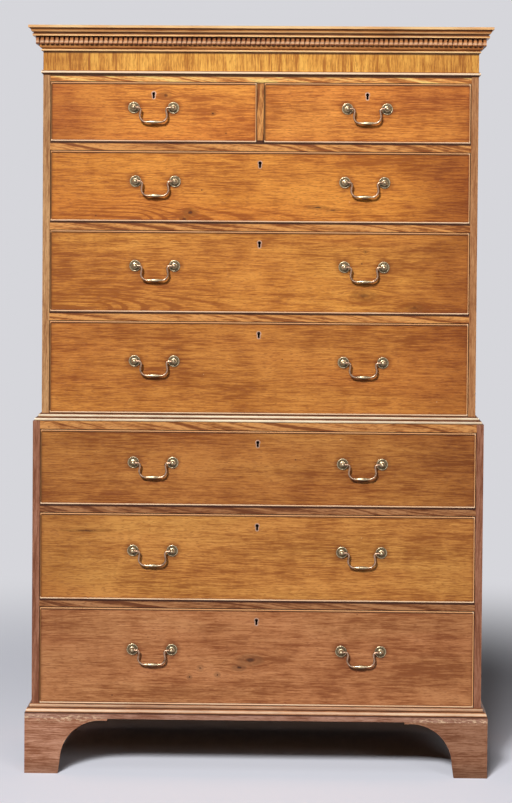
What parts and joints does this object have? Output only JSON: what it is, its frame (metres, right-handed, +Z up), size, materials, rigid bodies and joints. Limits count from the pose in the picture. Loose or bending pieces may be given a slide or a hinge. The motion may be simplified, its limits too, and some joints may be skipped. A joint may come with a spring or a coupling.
{
  "type": "chest on chest",
  "caption": "Mahogany chest on chest with dovetailed cockbeaded drawers, swan-neck brass handles, locks, dentil cornice, moulded waist and base, and bracket feet.",
  "frame": {"origin": "on the floor, under the middle of the overall box", "axes": "+X to the right, +Y to the back, +Z up; the drawers open towards -Y"},
  "size_m": [1.152, 0.5605, 1.86],
  "materials": {
    "case_mahogany": "waxed, semi-gloss",
    "drawer_mahogany": "waxed, semi-gloss",
    "frieze_mahogany": "waxed, semi-gloss",
    "moulding_mahogany": "waxed, semi-gloss",
    "foot_mahogany": "waxed, worn",
    "oak": "bare, planed",
    "pine": "bare, aged",
    "brass": "polished, aged"
  },
  "bodies": {
    "case": {"upper_left_side": "case_mahogany", "upper_right_side": "case_mahogany", "lower_left_side": "case_mahogany", "lower_right_side": "case_mahogany", "case_boards": "pine", "drawer_rails": "case_mahogany", "drawer_runners": "oak", "back_boards": "pine", "frieze_board": "frieze_mahogany", "cornice_mouldings": "moulding_mahogany", "dentil_strips": "moulding_mahogany", "waist_moulding": "moulding_mahogany", "base_moulding": "moulding_mahogany", "bracket_feet": "foot_mahogany"},
    "short_left_drawer": {"short_left_drawer_front": "drawer_mahogany", "short_left_drawer_box": "oak", "short_left_drawer_fittings": "brass"},
    "short_left_lock_bolt": {"short_left_lock_bolt": "brass"},
    "short_left_bail": {"short_left_bail": "brass"},
    "short_right_drawer": {"short_right_drawer_front": "drawer_mahogany", "short_right_drawer_box": "oak", "short_right_drawer_fittings": "brass"},
    "short_right_lock_bolt": {"short_right_lock_bolt": "brass"},
    "short_right_bail": {"short_right_bail": "brass"},
    "upper_second_drawer": {"upper_second_drawer_front": "drawer_mahogany", "upper_second_drawer_box": "oak", "upper_second_drawer_fittings": "brass"},
    "upper_second_lock_bolt": {"upper_second_lock_bolt": "brass"},
    "upper_second_left_bail": {"upper_second_left_bail": "brass"},
    "upper_second_right_bail": {"upper_second_right_bail": "brass"},
    "upper_third_drawer": {"upper_third_drawer_front": "drawer_mahogany", "upper_third_drawer_box": "oak", "upper_third_drawer_fittings": "brass"},
    "upper_third_lock_bolt": {"upper_third_lock_bolt": "brass"},
    "upper_third_left_bail": {"upper_third_left_bail": "brass"},
    "upper_third_right_bail": {"upper_third_right_bail": "brass"},
    "upper_fourth_drawer": {"upper_fourth_drawer_front": "drawer_mahogany", "upper_fourth_drawer_box": "oak", "upper_fourth_drawer_fittings": "brass"},
    "upper_fourth_lock_bolt": {"upper_fourth_lock_bolt": "brass"},
    "upper_fourth_left_bail": {"upper_fourth_left_bail": "brass"},
    "upper_fourth_right_bail": {"upper_fourth_right_bail": "brass"},
    "lower_first_drawer": {"lower_first_drawer_front": "drawer_mahogany", "lower_first_drawer_box": "oak", "lower_first_drawer_fittings": "brass"},
    "lower_first_lock_bolt": {"lower_first_lock_bolt": "brass"},
    "lower_first_left_bail": {"lower_first_left_bail": "brass"},
    "lower_first_right_bail": {"lower_first_right_bail": "brass"},
    "lower_second_drawer": {"lower_second_drawer_front": "drawer_mahogany", "lower_second_drawer_box": "oak", "lower_second_drawer_fittings": "brass"},
    "lower_second_lock_bolt": {"lower_second_lock_bolt": "brass"},
    "lower_second_left_bail": {"lower_second_left_bail": "brass"},
    "lower_second_right_bail": {"lower_second_right_bail": "brass"},
    "lower_third_drawer": {"lower_third_drawer_front": "drawer_mahogany", "lower_third_drawer_box": "oak", "lower_third_drawer_fittings": "brass"},
    "lower_third_lock_bolt": {"lower_third_lock_bolt": "brass"},
    "lower_third_left_bail": {"lower_third_left_bail": "brass"},
    "lower_third_right_bail": {"lower_third_right_bail": "brass"}
  },
  "joints": [
    {"name": "short_left_drawer_slide", "type": "slide", "parent": "case", "child": "short_left_drawer", "axis": [0, -1, 0], "range_m": [0, 0.38]},
    {"name": "short_left_lock_bolt_throw", "type": "slide", "parent": "short_left_drawer", "child": "short_left_lock_bolt", "axis": [0, 0, 1], "range_m": [0, 0.008]},
    {"name": "short_left_bail_swing", "type": "hinge", "parent": "short_left_drawer", "child": "short_left_bail", "pos_m": [-0.265, -0.25475, 1.65878], "axis": [-1, 0, 0], "range_deg": [-14, 194]},
    {"name": "short_right_drawer_slide", "type": "slide", "parent": "case", "child": "short_right_drawer", "axis": [0, -1, 0], "range_m": [0, 0.38]},
    {"name": "short_right_lock_bolt_throw", "type": "slide", "parent": "short_right_drawer", "child": "short_right_lock_bolt", "axis": [0, 0, 1], "range_m": [0, 0.008]},
    {"name": "short_right_bail_swing", "type": "hinge", "parent": "short_right_drawer", "child": "short_right_bail", "pos_m": [0.265, -0.25475, 1.65878], "axis": [-1, 0, 0], "range_deg": [-14, 194]},
    {"name": "upper_second_drawer_slide", "type": "slide", "parent": "case", "child": "upper_second_drawer", "axis": [0, -1, 0], "range_m": [0, 0.38]},
    {"name": "upper_second_lock_bolt_throw", "type": "slide", "parent": "upper_second_drawer", "child": "upper_second_lock_bolt", "axis": [0, 0, 1], "range_m": [0, 0.008]},
    {"name": "upper_second_left_bail_swing", "type": "hinge", "parent": "upper_second_drawer", "child": "upper_second_left_bail", "pos_m": [-0.26, -0.25475, 1.47643], "axis": [-1, 0, 0], "range_deg": [-14, 194]},
    {"name": "upper_second_right_bail_swing", "type": "hinge", "parent": "upper_second_drawer", "child": "upper_second_right_bail", "pos_m": [0.26, -0.25475, 1.47643], "axis": [-1, 0, 0], "range_deg": [-14, 194]},
    {"name": "upper_third_drawer_slide", "type": "slide", "parent": "case", "child": "upper_third_drawer", "axis": [0, -1, 0], "range_m": [0, 0.38]},
    {"name": "upper_third_lock_bolt_throw", "type": "slide", "parent": "upper_third_drawer", "child": "upper_third_lock_bolt", "axis": [0, 0, 1], "range_m": [0, 0.008]},
    {"name": "upper_third_left_bail_swing", "type": "hinge", "parent": "upper_third_drawer", "child": "upper_third_left_bail", "pos_m": [-0.26, -0.25475, 1.26658], "axis": [-1, 0, 0], "range_deg": [-14, 194]},
    {"name": "upper_third_right_bail_swing", "type": "hinge", "parent": "upper_third_drawer", "child": "upper_third_right_bail", "pos_m": [0.26, -0.25475, 1.26658], "axis": [-1, 0, 0], "range_deg": [-14, 194]},
    {"name": "upper_fourth_drawer_slide", "type": "slide", "parent": "case", "child": "upper_fourth_drawer", "axis": [0, -1, 0], "range_m": [0, 0.38]},
    {"name": "upper_fourth_lock_bolt_throw", "type": "slide", "parent": "upper_fourth_drawer", "child": "upper_fourth_lock_bolt", "axis": [0, 0, 1], "range_m": [0, 0.008]},
    {"name": "upper_fourth_left_bail_swing", "type": "hinge", "parent": "upper_fourth_drawer", "child": "upper_fourth_left_bail", "pos_m": [-0.26, -0.25475, 1.02944], "axis": [-1, 0, 0], "range_deg": [-14, 194]},
    {"name": "upper_fourth_right_bail_swing", "type": "hinge", "parent": "upper_fourth_drawer", "child": "upper_fourth_right_bail", "pos_m": [0.26, -0.25475, 1.02944], "axis": [-1, 0, 0], "range_deg": [-14, 194]},
    {"name": "lower_first_drawer_slide", "type": "slide", "parent": "case", "child": "lower_first_drawer", "axis": [0, -1, 0], "range_m": [0, 0.38]},
    {"name": "lower_first_lock_bolt_throw", "type": "slide", "parent": "lower_first_drawer", "child": "lower_first_lock_bolt", "axis": [0, 0, 1], "range_m": [0, 0.008]},
    {"name": "lower_first_left_bail_swing", "type": "hinge", "parent": "lower_first_drawer", "child": "lower_first_left_bail", "pos_m": [-0.26, -0.27475, 0.77797], "axis": [-1, 0, 0], "range_deg": [-14, 194]},
    {"name": "lower_first_right_bail_swing", "type": "hinge", "parent": "lower_first_drawer", "child": "lower_first_right_bail", "pos_m": [0.26, -0.27475, 0.77797], "axis": [-1, 0, 0], "range_deg": [-14, 194]},
    {"name": "lower_second_drawer_slide", "type": "slide", "parent": "case", "child": "lower_second_drawer", "axis": [0, -1, 0], "range_m": [0, 0.38]},
    {"name": "lower_second_lock_bolt_throw", "type": "slide", "parent": "lower_second_drawer", "child": "lower_second_lock_bolt", "axis": [0, 0, 1], "range_m": [0, 0.008]},
    {"name": "lower_second_left_bail_swing", "type": "hinge", "parent": "lower_second_drawer", "child": "lower_second_left_bail", "pos_m": [-0.26, -0.27475, 0.55797], "axis": [-1, 0, 0], "range_deg": [-14, 194]},
    {"name": "lower_second_right_bail_swing", "type": "hinge", "parent": "lower_second_drawer", "child": "lower_second_right_bail", "pos_m": [0.26, -0.27475, 0.55797], "axis": [-1, 0, 0], "range_deg": [-14, 194]},
    {"name": "lower_third_drawer_slide", "type": "slide", "parent": "case", "child": "lower_third_drawer", "axis": [0, -1, 0], "range_m": [0, 0.38]},
    {"name": "lower_third_lock_bolt_throw", "type": "slide", "parent": "lower_third_drawer", "child": "lower_third_lock_bolt", "axis": [0, 0, 1], "range_m": [0, 0.008]},
    {"name": "lower_third_left_bail_swing", "type": "hinge", "parent": "lower_third_drawer", "child": "lower_third_left_bail", "pos_m": [-0.26, -0.27475, 0.3107], "axis": [-1, 0, 0], "range_deg": [-14, 194]},
    {"name": "lower_third_right_bail_swing", "type": "hinge", "parent": "lower_third_drawer", "child": "lower_third_right_bail", "pos_m": [0.26, -0.27475, 0.3107], "axis": [-1, 0, 0], "range_deg": [-14, 194]}
  ]
}
